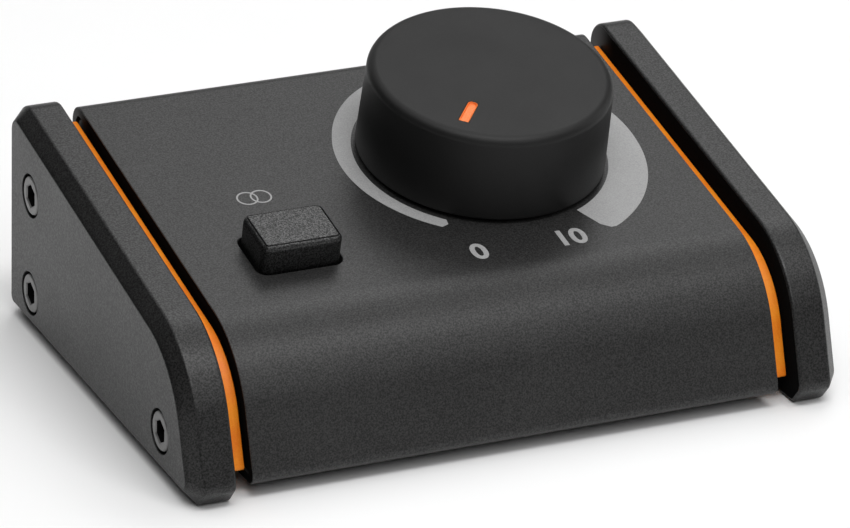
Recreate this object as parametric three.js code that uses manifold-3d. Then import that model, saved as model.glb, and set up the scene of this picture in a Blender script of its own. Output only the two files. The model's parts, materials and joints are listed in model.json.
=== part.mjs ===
// A desktop volume controller for studio monitors, in millimetres with Z up.
// X runs along the width and Y from the front to the back.
// The origin is on the table, under the middle of the object.
// A bent shell with a sloping top stands between two thick cheeks.
// An orange plate lies in the groove at each end.
import * as THREE from 'three';
import { mergeVertices } from 'three/addons/utils/BufferGeometryUtils.js';
import Module from 'manifold-3d';

const wasm = await Module();
wasm.setup();

const degree = Math.PI / 180;

// Overall form, taken along the outer edge of a cheek in side view
const overallWidth = 110;
const cheekDepth = 79.6;
const cheekBackHeight = 37.65;
const topSlopeAngle = 11.1 * degree;
const frontLeanAngle = 19.3 * degree;
const bendRadius = 18.7;

// Cheeks
const cheekThickness = 7.4;
const cheekFloorGap = 0.25;
const cheekBackTopRadius = 4.5;
const cheekBackFootRadius = 1;
const cheekBevelAcross = 2.1;
const cheekBevelDown = 2.4;
const cheekBevelBack = 1.9;
const footBevelHeight = 3.4;
const footBevelDepth = 2.6;
const footBevelRadius = 1.8;
const footBevelLowRadius = 0.9;
const innerFootBevel = 0.5;

// Groove and accent plates
const grooveWidth = 3.1;
const plateInset = 4.1;
const plateBackInset = 2.2;
const plateFloorGap = 3.9;
const plateCornerRadius = 0.8;
const plateSideGap = 0.1;

// Shell, bent from one sheet
const shellInset = 1.33;
const shellWall = 1.5;
const shellFloorGap = 2.25;
const shellFootRadius = 1.6;
const shellFootInnerRadius = 0.5;
const lipLength = 15;

// Tray with two upturned ends
const trayWall = 1.5;
const trayGap = 0.4;
const trayLift = 0.2;
const trayEndGap = 0.3;
const screwBossRadius = 2.6;
const screwBossLength = 2.5;
const boardBossRadius = 2.8;
const boardBossHeight = 1.4;

// Socket-head screws in the cheeks
const cheekScrewHeadRadius = 3.15;
const cheekScrewHeadHeight = 3.1;
const cheekScrewSunk = 0.25;
const cheekScrewShankRadius = 1.6;
const cheekScrewReach = 12;
const cheekScrewSocketFlats = 3.2;
const cheekScrewSocketDepth = 1.7;
const cheekScrewEdge = 0.3;
const counterboreRadius = 3.55;
const counterboreDepth = 3.6;
const rearScrewFromBack = 10.3;
const rearScrewLowHeight = 7.3;
const rearScrewHighFromTop = 13.45;
const frontScrewFromFront = 14.4;
const frontScrewHeight = 8.2;
const screwHoleGap = 0.25;

// Countersunk screws that hold the shell's lips to the tray
const baseScrewHeadRadius = 2.5;
const baseScrewHeadHeight = 1.2;
const baseScrewShankRadius = 1.25;
const baseScrewLength = 4.3;
const baseScrewRecess = 0.1;
const baseScrewFromShellEnd = 20.5;
const baseBossRadius = 2.4;
const baseBossHeight = 1;

// Rubber feet under the lips
const footRadius = 3.5;
const footThickness = 2.15;
const footEdge = 0.3;
const footFromShellEnd = 8.5;
const footFromLipCorner = 10.6;

// Knob, on a shaft square to the sloping top
const knobWidthShare = 0.2921;
const knobDepthShare = 0.4033;
const knobBaseRadius = 20;
const knobTopRadius = 19.25;
const knobHeight = 15.65;
const knobHover = 0.7;
const knobTopEdge = 1.6;
const knobBaseEdge = 0.35;
const knobSkirtWall = 2.2;
const knobCeiling = 4;
const knobBossRadius = 8.4;
const knobBossBottom = 4.4;
const hubRadius = 5.5;
const hubHeight = 8;
const hubGap = 0.3;
const indicatorAngle = -130 * degree;
const indicatorInner = 9.9;
const indicatorOuter = 15.8;
const indicatorWidth = 1.6;
const indicatorGap = 0.1;
const indicatorSlotDepth = 0.9;
const indicatorSunk = 0.2;
const indicatorInnerCornerShare = 0.4;
const indicatorOuterCornerShare = 0.12;
const shaftRadius = 3;
const shaftGap = 0.12;
const shaftFlatCut = 1.4;
const shaftFlatLength = 8.3;
const shaftInPotShare = 0.593;

// Potentiometer
const potRadius = 8;
const potDepthShare = 0.3166;
const potTopGap = 0.35;
const potEdge = 0.6;
const bushingRadius = 4.4;
const bushingHeight = 3.2;
const bushingBoreGap = 0.2;
const bushingHoleGap = 0.3;
const potWasherRadius = 7;
const potWasherThickness = 0.5;
const potNutFlats = 12;
const potNutThickness = 2;
const nutBoreGap = 0.15;
const stackGap = 0.1;

// Push button in its opening
const buttonWidthShare = -0.6067;
const buttonDepthShare = 0.6244;
const buttonWidth = 13.4;
const buttonLength = 9.6;
const buttonProud = 4.75;
const buttonCornerRadius = 1.4;
const buttonGap = 0.5;
const buttonTopStep = 0.45;
const buttonTopInset = 0.45;
const buttonEdge = 0.22;
const buttonSkirtDepth = 3;
const buttonFlangeWidth = 0.9;
const buttonFlangeThickness = 0.9;
const buttonTravel = 2.5;
const plungerWidth = 3.4;
const plungerGap = 0.2;
const plungerInCap = 3.5;
const plungerFloorGap = 0.3;
const switchWidth = 8.5;
const switchTravelGap = 0.4;
const switchFloor = 0.5;

// Circuit boards and the ribbon between them
const boardThickness = 1.6;
const controlBoardDepthShare = 0.2975;
const controlBoardPastButton = 11;
const controlBoardPastKnob = 11;
const controlBoardBeforeJacks = 7.47;
const controlBoardBeforeButton = 9.9;
const mainBoardEndGap = 1.2;
const mainBoardBeyondJacks = 20.27;
const mainBoardBackGap = 1.2;
const mainBoardLift = 0.1;
const boardScrewHeadRadius = 2.1;
const boardScrewHeadHeight = 1.4;
const boardScrewShankRadius = 1.2;
const boardScrewLength = 4;
const boardScrewTopShare = 0.8;
const frontBoardScrewInset = 5;
const frontBoardScrewBehindEdge = 6;
const rearBoardScrewFromBack = 13;
const ribbonWidth = 14;
const ribbonThickness = 0.6;
const ribbonBeforeBoardEdge = 2;
const ribbonLeg = 4;
const ribbonGap = 0.25;

// 6.3 mm jack sockets on the back wall
const jackCount = 4;
const jackBodySpacing = 6;
const jackEndMargin = 2;
const jackHeightShare = 0.4885;
const jackBodyDepth = 25.6;
const jackBodyEdge = 0.8;
const jackNoseRadius = 4.9;
const jackBoreRadius = 3.25;
const jackBoreDepth = 30.6;
const jackNoseBeyondNut = 0.8;
const jackHoleGap = 0.3;
const jackWasherRadius = 7;
const jackWasherThickness = 0.5;
const jackNutFlats = 13;
const jackNutThickness = 2.2;
const partGap = 0.3;

// Facets
const bendSteps = 14;
const backTopSteps = 7;
const cornerSteps = 4;
const smallCornerSteps = 3;
const knobFacets = 60;
const roundFacets = 24;
const smallFacets = 16;
const hiddenFacets = 12;
const hexSides = 6;
const cutOverrun = 2;

// Places that follow from the sizes above. The cheeks' back faces stay at zero until all is centred.
const halfWidth = overallWidth / 2;
const cheekInnerX = halfWidth - cheekThickness;
const shellEndX = cheekInnerX - grooveWidth;
const trayEndX = shellEndX - trayEndGap;
const knobX = knobWidthShare * shellEndX;
const knobFromBack = knobDepthShare * cheekDepth;
const buttonX = buttonWidthShare * shellEndX;
const buttonFromBack = buttonDepthShare * cheekDepth;
const mainBoardWidth = 2 * (trayEndX - trayWall - screwBossLength - mainBoardEndGap);
const jackPitch = (mainBoardWidth - 2 * jackEndMargin + jackBodySpacing) / jackCount;
const jackBodyWidth = jackPitch - jackBodySpacing;
const jackBehindShell = jackWasherThickness + jackNutThickness + jackNoseBeyondNut + 2 * stackGap;
const backY = 0;
const frontFootY = backY - cheekDepth;
const shellBackY = backY - shellInset;
const shellBackInnerY = shellBackY - shellWall;
const shellBackTopRadius = cheekBackTopRadius - shellInset;
const lipTopZ = shellFloorGap + shellWall;
const trayBottomZ = lipTopZ + trayLift;
const trayTopZ = trayBottomZ + trayWall;
const mainBoardZ = trayTopZ + boardBossHeight + mainBoardLift;
const mainBoardTopZ = mainBoardZ + boardThickness;
const jackBodyBackY = shellBackInnerY - partGap;
const jackFrontY = jackBodyBackY - jackBodyDepth;
const mainBoardFrontY = jackFrontY - mainBoardBeyondJacks;
const controlBoardDepth = controlBoardDepthShare * cheekBackHeight;
const controlBoardBackEdge = controlBoardBeforeJacks - jackFrontY;
const controlBoardFrontEdge = buttonFromBack + controlBoardBeforeButton;

// Solids

// A closed geometry as a solid that can be joined and cut.
function solid(geometry) {
  const bare = geometry.clone();
  bare.deleteAttribute('normal');
  bare.deleteAttribute('uv');
  const merged = mergeVertices(bare);
  const triVerts = Uint32Array.from(merged.index.array);
  return new wasm.Manifold(new wasm.Mesh({
    numProp: 3,
    vertProperties: merged.attributes.position.array,
    triVerts,
  }));
}

function geometryOf(body) {
  const mesh = body.getMesh();
  const geometry = new THREE.BufferGeometry();
  geometry.setAttribute('position', new THREE.BufferAttribute(Float32Array.from(mesh.vertProperties), 3));
  geometry.setIndex(new THREE.BufferAttribute(Uint32Array.from(mesh.triVerts), 1));
  geometry.computeVertexNormals();
  return geometry;
}

// One geometry cut by others, after others again have been joined to it.
function carve(geometry, cutters, additions = []) {
  let body = solid(geometry);
  for (const addition of additions) {
    body = body.add(solid(addition));
  }
  for (const cutter of cutters) {
    body = body.subtract(solid(cutter));
  }
  return geometryOf(body);
}

// Turned about Z from [radius, height] points, on the axis at both ends or else closed on itself.
function turned(profile, facets) {
  const points = profile.map(([radius, height]) => new THREE.Vector2(radius, height));
  if (THREE.ShapeUtils.area(points) < 0) {
    points.reverse();
  }
  const onAxis = points[0].x === 0 && points.at(-1).x === 0;
  if (!onAxis) {
    points.push(points[0].clone());
  }
  return new THREE.LatheGeometry(points, facets).rotateX(Math.PI / 2);
}

// A straight rod or hole along Z from one height to another.
function rod(radius, fromZ, toZ, facets = roundFacets) {
  const height = toZ - fromZ;
  return new THREE.CylinderGeometry(radius, radius, height, facets)
    .rotateX(Math.PI / 2)
    .translate(0, 0, fromZ + height / 2);
}

function block(width, depth, height) {
  return new THREE.BoxGeometry(width, depth, height);
}

// Corner radius of a hexagon from the distance across its flats.
function hexRadius(flats) {
  return flats / Math.sqrt(3);
}

// An outline through corners, each rounded by its own radius.
function roundedPath(corners, closed = true) {
  const points = [];
  corners.forEach(({ at, radius = 0, steps = cornerSteps }, i) => {
    const isEnd = !closed && (i === 0 || i === corners.length - 1);
    if (isEnd || radius === 0) {
      points.push(at.clone());
      return;
    }
    const toBefore = corners.at(i - 1).at.clone().sub(at).normalize();
    const toAfter = corners[(i + 1) % corners.length].at.clone().sub(at).normalize();
    const halfAngle = Math.acos(toBefore.dot(toAfter)) / 2;
    const inwards = toBefore.clone().add(toAfter).normalize();
    const middle = at.clone().addScaledVector(inwards, radius / Math.sin(halfAngle));
    const spoke = at.clone().addScaledVector(toBefore, radius / Math.tan(halfAngle)).sub(middle);
    const turn = Math.sign(toAfter.cross(toBefore)) * (Math.PI - 2 * halfAngle);
    for (let step = 0; step <= steps; step += 1) {
      const centre = new THREE.Vector2();
      points.push(spoke.clone().rotateAround(centre, turn * step / steps).add(middle));
    }
  });
  return points;
}

// An outline in Y and Z drawn out along X, centred on x.
const sideways = new THREE.Matrix4().makeBasis(
  new THREE.Vector3(0, 1, 0),
  new THREE.Vector3(0, 0, 1),
  new THREE.Vector3(1, 0, 0),
);

function drawnOut(outline, length, x = 0) {
  return new THREE.ExtrudeGeometry(new THREE.Shape(outline), { depth: length, bevelEnabled: false })
    .applyMatrix4(sideways)
    .translate(x - length / 2, 0, 0);
}

// A body through outlines of equal point counts, each { at, outline }, stacked along one axis.
function lofted(sections) {
  const rings = [...sections].sort((a, b) => a.at - b.at);
  const count = rings[0].outline.length;
  const positions = rings.flatMap(({ at, outline }) => outline.flatMap((point) => [point.x, point.y, at]));
  const faces = [];
  for (let ring = 0; ring < rings.length - 1; ring += 1) {
    for (let i = 0; i < count; i += 1) {
      const here = ring * count + i;
      const next = ring * count + (i + 1) % count;
      faces.push(here, next, next + count, here, next + count, here + count);
    }
  }
  const topStart = (rings.length - 1) * count;
  for (const [a, b, c] of THREE.ShapeUtils.triangulateShape(rings.at(-1).outline, [])) {
    faces.push(topStart + a, topStart + b, topStart + c);
  }
  for (const [a, b, c] of THREE.ShapeUtils.triangulateShape(rings[0].outline, [])) {
    faces.push(a, c, b);
  }
  const geometry = new THREE.BufferGeometry();
  geometry.setAttribute('position', new THREE.Float32BufferAttribute(positions, 3));
  geometry.setIndex(faces);
  return geometry;
}

// Side view

// Each edge of the side view is a line with an outward normal, so a piece that sits a set distance inside
// another takes the same lines moved inwards.
const topNormal = new THREE.Vector2(-Math.sin(topSlopeAngle), Math.cos(topSlopeAngle));
const frontNormal = new THREE.Vector2(-Math.cos(frontLeanAngle), Math.sin(frontLeanAngle));
const backNormal = new THREE.Vector2(1, 0);
const floorNormal = new THREE.Vector2(0, -1);
const backTopCorner = new THREE.Vector2(backY, cheekBackHeight);
const frontFootCorner = new THREE.Vector2(frontFootY, 0);

function line(normal, through, inset = 0) {
  return { normal, reach: normal.dot(through) - inset };
}

function meet(a, b) {
  const turn = a.normal.cross(b.normal);
  return new THREE.Vector2(
    (a.reach * b.normal.y - b.reach * a.normal.y) / turn,
    (b.reach * a.normal.x - a.reach * b.normal.x) / turn,
  );
}

function sideLines(inset, backInset, floorZ) {
  return {
    top: line(topNormal, backTopCorner, inset),
    front: line(frontNormal, frontFootCorner, inset),
    back: line(backNormal, backTopCorner, backInset),
    floor: line(floorNormal, new THREE.Vector2(0, floorZ)),
  };
}

// The cheek's outline, full or inside the bevel, over a sole at a set height.
function cheekOutline(inset, backInset, floorZ) {
  const { top, front, back, floor } = sideLines(inset, backInset, floorZ);
  const bevelTopY = frontFootY + footBevelHeight * Math.tan(frontLeanAngle);
  const bevelTop = new THREE.Vector2(bevelTopY, footBevelHeight);
  const bevelRise = footBevelHeight - cheekFloorGap;
  const bevelNormal = new THREE.Vector2(-bevelRise, -footBevelDepth).normalize();
  const footBevel = line(bevelNormal, bevelTop, inset);
  return roundedPath([
    { at: meet(back, top), radius: cheekBackTopRadius - inset, steps: backTopSteps },
    { at: meet(top, front), radius: bendRadius - inset, steps: bendSteps },
    { at: meet(front, footBevel), radius: footBevelRadius, steps: smallCornerSteps },
    { at: meet(footBevel, floor), radius: footBevelLowRadius, steps: smallCornerSteps },
    { at: meet(floor, back), radius: cheekBackFootRadius, steps: smallCornerSteps },
  ]);
}

const screwPlaces = {
  back_high: [backY - rearScrewFromBack, cheekBackHeight - rearScrewHighFromTop],
  back_low: [backY - rearScrewFromBack, rearScrewLowHeight],
  front: [frontFootY + frontScrewFromFront, frontScrewHeight],
};

// A rod along X through a screw's place, from one distance off the middle to another.
function crossRod(radius, [y, z], fromX, toX, facets = smallFacets) {
  return rod(radius, fromX, toX, facets).rotateY(Math.PI / 2).translate(0, y, z);
}

function spanned(side, near, far) {
  return side > 0 ? [near, far] : [-far, -near];
}

const pieces = new THREE.Group();

function finish(colour, roughness, metalness = 0) {
  return new THREE.MeshStandardMaterial({ color: colour, roughness, metalness });
}

function place(name, geometry, material, parent = pieces) {
  const mesh = new THREE.Mesh(geometry, material);
  mesh.name = name;
  parent.add(mesh);
  return mesh;
}

const cheekCoat = finish(0x3a3b3d, 0.62, 0.35);
const shellCoat = finish(0x3d3d3f, 0.6, 0.35);
const accentCoat = finish(0xf08a1c, 0.45);
const softTouch = finish(0x1f1f20, 0.72);
const buttonPlastic = finish(0x17181a, 0.55);
const blackSteel = finish(0x2a2b2d, 0.4, 0.8);
const plainSteel = finish(0xb9bcc0, 0.35, 0.9);
const brass = finish(0xc2a052, 0.35, 0.9);
const rubber = finish(0x141414, 0.9);
const boardGreen = finish(0x1d4a2c, 0.55);
const blackPlastic = finish(0x1b1b1d, 0.6);
const ribbonGrey = finish(0x9a9b9d, 0.6);

for (const [side, label] of [[-1, 'left'], [1, 'right']]) {
  // Cheek
  const floorZ = cheekFloorGap;
  const body = lofted([
    { at: side * cheekInnerX, outline: cheekOutline(0, 0, floorZ + innerFootBevel) },
    { at: side * (cheekInnerX + innerFootBevel), outline: cheekOutline(0, 0, floorZ) },
    { at: side * (halfWidth - cheekBevelAcross), outline: cheekOutline(0, 0, floorZ) },
    { at: side * halfWidth, outline: cheekOutline(cheekBevelDown, cheekBevelBack, floorZ + cheekBevelDown) },
  ]).applyMatrix4(sideways);
  const holes = [];
  for (const at of Object.values(screwPlaces)) {
    const bore = spanned(side, cheekInnerX - cutOverrun, halfWidth + cutOverrun);
    const seat = spanned(side, halfWidth - counterboreDepth, halfWidth + cutOverrun);
    holes.push(crossRod(cheekScrewShankRadius + screwHoleGap, at, ...bore));
    holes.push(crossRod(counterboreRadius, at, ...seat, roundFacets));
  }
  place(`cheek_${label}`, carve(body, holes), cheekCoat);

  // Accent plate in the groove
  const lines = sideLines(plateInset, plateBackInset, plateFloorGap);
  const plateOutline = roundedPath([
    { at: meet(lines.back, lines.top), radius: plateCornerRadius, steps: smallCornerSteps },
    { at: meet(lines.top, lines.front), radius: bendRadius - plateInset, steps: bendSteps },
    { at: meet(lines.front, lines.floor) },
    { at: meet(lines.floor, lines.back) },
  ]);
  const plateX = side * (shellEndX + grooveWidth / 2);
  const plate = drawnOut(plateOutline, grooveWidth - 2 * plateSideGap, plateX);
  const plateHoles = Object.values(screwPlaces).map((at) => {
    const reach = spanned(side, shellEndX - cutOverrun, cheekInnerX + cutOverrun);
    return crossRod(cheekScrewShankRadius + screwHoleGap, at, ...reach);
  });
  place(`accent_plate_${label}`, carve(plate, plateHoles), accentCoat);
}

// Shell: the band between an outer and an inner outline, open between its two lips.
const lipFoot = sideLines(shellInset, 0, shellFloorGap);
const lipFrontY = meet(lipFoot.front, lipFoot.floor).x;

function shellOutline(depth) {
  const { top, front, back, floor } = sideLines(
    shellInset + depth,
    shellInset + depth,
    shellFloorGap + depth,
  );
  const frontFoot = meet(front, floor);
  const backFoot = meet(floor, back);
  const footCorner = Math.max(shellFootRadius - depth, shellFootInnerRadius);
  return [
    { at: new THREE.Vector2(lipFrontY + lipLength, -floor.reach) },
    { at: frontFoot, radius: footCorner, steps: smallCornerSteps },
    { at: meet(top, front), radius: bendRadius - shellInset - depth, steps: bendSteps },
    { at: meet(back, top), radius: shellBackTopRadius - depth, steps: backTopSteps },
    { at: backFoot, radius: footCorner, steps: smallCornerSteps },
    { at: new THREE.Vector2(shellBackY - lipLength, -floor.reach) },
  ];
}

const shellBand = [
  ...roundedPath(shellOutline(0), false),
  ...roundedPath(shellOutline(shellWall), false).reverse(),
];

// Places on the sloping top: x along the width, fromBack down the slope, height along its normal.
const topFrame = new THREE.Group();
const topOrigin = meet(sideLines(shellInset, 0, 0).top, sideLines(0, 0, 0).back);
topFrame.position.set(0, topOrigin.x, topOrigin.y);
topFrame.rotation.x = topSlopeAngle;
topFrame.updateMatrixWorld(true);
pieces.add(topFrame);

function ontoTop(geometry, x, fromBack) {
  return geometry.clone().translate(x, -fromBack, 0).applyMatrix4(topFrame.matrixWorld);
}

function roundedRectangle(width, length, radius, steps = smallCornerSteps) {
  const x = width / 2;
  const y = length / 2;
  return roundedPath([[x, y], [-x, y], [-x, -y], [x, -y]].map(([cornerX, cornerY]) => ({
    at: new THREE.Vector2(cornerX, cornerY),
    radius,
    steps,
  })));
}

// Jacks and potentiometer share the height between the main board and the top, where the jacks end.
const topLine = line(topNormal, topOrigin);
const jackFrontLine = line(backNormal, new THREE.Vector2(jackFrontY, 0));
const roomOverBoard = meet(topLine, jackFrontLine).y - mainBoardTopZ;
const jackBodyHeight = jackHeightShare * roomOverBoard;
const jackZ = mainBoardTopZ + stackGap + jackBodyHeight / 2;
const potDepth = potDepthShare * roomOverBoard;

const openingOutline = roundedRectangle(
  buttonWidth + 2 * buttonGap,
  buttonLength + 2 * buttonGap,
  buttonCornerRadius + buttonGap,
  cornerSteps,
);
const openingCutter = lofted([
  { at: -shellWall - cutOverrun, outline: openingOutline },
  { at: cutOverrun, outline: openingOutline },
]);
const bushingCutter = rod(bushingRadius + bushingHoleGap, -shellWall - cutOverrun, cutOverrun);

const jackXs = Array.from({ length: jackCount }, (_, i) => (i - (jackCount - 1) / 2) * jackPitch);
const frontBendRun = shellFootRadius / Math.tan((Math.PI / 2 - frontLeanAngle) / 2);
const frontLipY = lipFrontY + (lipLength + frontBendRun) / 2;
const backLipY = shellBackY - (lipLength + shellFootRadius) / 2;
const lipPlaces = { front: frontLipY, back: backLipY };
const footPlaces = { front: lipFrontY + footFromLipCorner, back: shellBackY - footFromLipCorner };

// Seat of a countersunk screw in the lip, its head at the bottom.
const countersinkLength = shellWall + cutOverrun;
const baseScrewCutter = turned([
  [0, -cutOverrun],
  [baseScrewHeadRadius + stackGap, -cutOverrun],
  [baseScrewHeadRadius + stackGap, baseScrewRecess],
  [baseScrewShankRadius + stackGap, baseScrewHeadHeight + baseScrewRecess + stackGap],
  [baseScrewShankRadius + stackGap, countersinkLength],
  [0, countersinkLength],
], smallFacets);
const baseScrewPlaces = [];
for (const [end, y] of Object.entries(lipPlaces)) {
  for (const [side, label] of [[-1, 'left'], [1, 'right']]) {
    baseScrewPlaces.push({ label: `${end}_${label}`, x: side * (shellEndX - baseScrewFromShellEnd), y });
  }
}

const jackCutters = jackXs.map((x) => rod(jackNoseRadius + jackHoleGap, -cutOverrun, shellWall + cutOverrun)
  .rotateX(Math.PI / 2)
  .translate(x, shellBackY, jackZ));
const shellCutters = [
  ontoTop(openingCutter, buttonX, buttonFromBack),
  ontoTop(bushingCutter, knobX, knobFromBack),
  ...jackCutters,
  ...baseScrewPlaces.map(({ x, y }) => baseScrewCutter.clone().translate(x, y, shellFloorGap)),
];
place('top_shell', carve(drawnOut(shellBand, 2 * shellEndX), shellCutters), shellCoat);

// Tray: a block that fits inside the shell, hollowed out to leave the floor and the two ends.
const trayInset = shellWall + trayGap;
const trayLines = sideLines(shellInset + trayInset, shellInset + trayInset, trayBottomZ);
const trayBendRadius = bendRadius - shellInset - trayInset;
const trayOutline = roundedPath([
  { at: meet(trayLines.back, trayLines.top), radius: shellBackTopRadius - shellWall },
  { at: meet(trayLines.top, trayLines.front), radius: trayBendRadius, steps: bendSteps },
  { at: meet(trayLines.front, trayLines.floor) },
  { at: meet(trayLines.floor, trayLines.back) },
]);
const trayHollow = block(2 * (trayEndX - trayWall), 2 * cheekDepth, 2 * cheekBackHeight)
  .translate(0, 0, trayTopZ + cheekBackHeight);
const frontBoardScrewX = mainBoardWidth / 2 - frontBoardScrewInset;
const frontBoardScrewY = mainBoardFrontY + frontBoardScrewBehindEdge;
const boardScrewPlaces = [
  { label: 'front_left', x: -frontBoardScrewX, y: frontBoardScrewY },
  { label: 'front_right', x: frontBoardScrewX, y: frontBoardScrewY },
  { label: 'back_left', x: -jackPitch, y: backY - rearBoardScrewFromBack },
  { label: 'back_right', x: jackPitch, y: backY - rearBoardScrewFromBack },
];
const trayBosses = [];
const trayHoles = [];
for (const side of [-1, 1]) {
  for (const at of Object.values(screwPlaces)) {
    const inner = trayEndX - trayWall;
    const bossSpan = spanned(side, inner - screwBossLength, inner + trayWall / 2);
    const holeSpan = spanned(side, inner - screwBossLength - cutOverrun, trayEndX + cutOverrun);
    trayBosses.push(crossRod(screwBossRadius, at, ...bossSpan, hiddenFacets));
    trayHoles.push(crossRod(cheekScrewShankRadius + screwHoleGap, at, ...holeSpan, hiddenFacets));
  }
}
const trayMidZ = trayBottomZ + trayWall / 2;
const standing = [
  ...boardScrewPlaces.map(({ x, y }) => [x, y, boardBossRadius, boardBossHeight, boardScrewShankRadius]),
  ...baseScrewPlaces.map(({ x, y }) => [x, y, baseBossRadius, baseBossHeight, baseScrewShankRadius]),
];
for (const [x, y, bossRadius, bossHeight, shankRadius] of standing) {
  const holeRadius = shankRadius + screwHoleGap;
  const boss = rod(bossRadius, trayMidZ, trayTopZ + bossHeight, hiddenFacets);
  const hole = rod(holeRadius, trayBottomZ - cutOverrun, trayTopZ + bossHeight + cutOverrun, hiddenFacets);
  trayBosses.push(boss.translate(x, y, 0));
  trayHoles.push(hole.translate(x, y, 0));
}
const trayBlock = carve(drawnOut(trayOutline, 2 * trayEndX), [trayHollow]);
place('base_tray', carve(trayBlock, trayHoles, trayBosses), shellCoat);

// Cheek screws, head outwards and shank through cheek and plate into the tray
const screwProfile = [
  [0, -cheekScrewReach],
  [cheekScrewShankRadius, -cheekScrewReach],
  [cheekScrewShankRadius, -cheekScrewHeadHeight],
  [cheekScrewHeadRadius, -cheekScrewHeadHeight],
  [cheekScrewHeadRadius, -cheekScrewEdge],
  [cheekScrewHeadRadius - cheekScrewEdge, 0],
  [0, 0],
];
const socket = rod(hexRadius(cheekScrewSocketFlats), -cheekScrewSocketDepth, cutOverrun, hexSides);
const cheekScrew = carve(turned(screwProfile, roundFacets), [socket]);
for (const [side, label] of [[-1, 'left'], [1, 'right']]) {
  for (const [spot, [y, z]] of Object.entries(screwPlaces)) {
    const screw = place(`cheek_screw_${label}_${spot}`, cheekScrew, blackSteel);
    screw.position.set(side * (halfWidth - cheekScrewSunk), y, z);
    screw.rotation.y = side * Math.PI / 2;
  }
}

// Base screws and feet under the lips
const baseScrew = turned([
  [0, baseScrewRecess],
  [baseScrewHeadRadius, baseScrewRecess],
  [baseScrewShankRadius, baseScrewRecess + baseScrewHeadHeight],
  [baseScrewShankRadius, baseScrewLength],
  [0, baseScrewLength],
], smallFacets);
for (const { label, x, y } of baseScrewPlaces) {
  place(`base_screw_${label}`, baseScrew, blackSteel).position.set(x, y, shellFloorGap);
}
const foot = turned([
  [0, 0],
  [footRadius - footEdge, 0],
  [footRadius, footEdge],
  [footRadius, footThickness],
  [0, footThickness],
], roundFacets);
for (const [end, y] of Object.entries(footPlaces)) {
  for (const [side, label] of [[-1, 'left'], [1, 'right']]) {
    place(`foot_${end}_${label}`, foot, rubber).position.set(side * (shellEndX - footFromShellEnd), y, 0);
  }
}

// Knob, insert and shaft, which turn together
const knobFrame = new THREE.Group();
knobFrame.position.set(knobX, -knobFromBack, 0);
topFrame.add(knobFrame);
const knobCeilingZ = knobHeight - knobCeiling;
const hubBoreTop = knobBossBottom + hubHeight + hubGap;
const skirtInner = knobBaseRadius - knobSkirtWall;
const edgeArc = Array.from({ length: cornerSteps + 1 }, (_, i) => {
  const angle = i / cornerSteps * Math.PI / 2;
  return [
    knobTopRadius - knobTopEdge + knobTopEdge * Math.cos(angle),
    knobHeight - knobTopEdge + knobTopEdge * Math.sin(angle),
  ];
});
const knobBody = turned([
  [0, hubBoreTop],
  [hubRadius + hubGap, hubBoreTop],
  [hubRadius + hubGap, knobBossBottom],
  [knobBossRadius, knobBossBottom],
  [knobBossRadius, knobCeilingZ],
  [skirtInner, knobCeilingZ],
  [skirtInner, knobHover],
  [knobBaseRadius - knobBaseEdge, knobHover],
  [knobBaseRadius, knobHover + knobBaseEdge],
  ...edgeArc,
  [0, knobHeight],
], knobFacets);

// A bar with a round inner end and a square outer one, lying along the knob's radius.
function pointerBar(margin, fromZ, toZ) {
  const width = indicatorWidth + 2 * margin;
  const inner = indicatorInner - margin;
  const outer = indicatorOuter + margin;
  const innerRadius = width * indicatorInnerCornerShare;
  const outerRadius = width * indicatorOuterCornerShare;
  const outline = roundedPath([
    { at: new THREE.Vector2(outer, width / 2), radius: outerRadius, steps: smallCornerSteps },
    { at: new THREE.Vector2(inner, width / 2), radius: innerRadius },
    { at: new THREE.Vector2(inner, -width / 2), radius: innerRadius },
    { at: new THREE.Vector2(outer, -width / 2), radius: outerRadius, steps: smallCornerSteps },
  ]);
  return lofted([{ at: fromZ, outline }, { at: toZ, outline }]).rotateZ(indicatorAngle);
}

const slotFloor = knobHeight - indicatorSlotDepth;
const slot = pointerBar(indicatorGap, slotFloor, knobHeight + cutOverrun);
place('volume_knob', carve(knobBody, [slot]), softTouch, knobFrame);
const pointer = pointerBar(0, slotFloor + indicatorGap, knobHeight - indicatorSunk);
place('knob_indicator', pointer, accentCoat, knobFrame);

// The insert grips the flat on the shaft.
function flatted(radius, fromZ, toZ, flatCut) {
  const away = block(2 * radius, 2 * radius, 2 * (toZ - fromZ)).translate(0, 2 * radius - flatCut, toZ);
  return carve(rod(radius, fromZ, toZ), [away]);
}

const hubBottom = knobBossBottom + stackGap;
const hubTop = knobBossBottom + hubHeight;
const hubBore = flatted(shaftRadius + shaftGap, hubBottom - cutOverrun, hubTop + cutOverrun, shaftFlatCut);
place('knob_hub', carve(rod(hubRadius, hubBottom, hubTop), [hubBore]), brass, knobFrame);

const shaftBelowPanel = shellWall + potTopGap + potDepth * shaftInPotShare;
const shaftTop = hubTop - stackGap;
const shaftFlatAway = block(2 * shaftRadius, 2 * shaftRadius, 2 * shaftFlatLength)
  .translate(0, 2 * shaftRadius - shaftFlatCut - shaftGap, shaftTop);
const shaft = carve(rod(shaftRadius, -shaftBelowPanel, shaftTop), [shaftFlatAway]);
place('pot_shaft', shaft, plainSteel, knobFrame);

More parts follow.
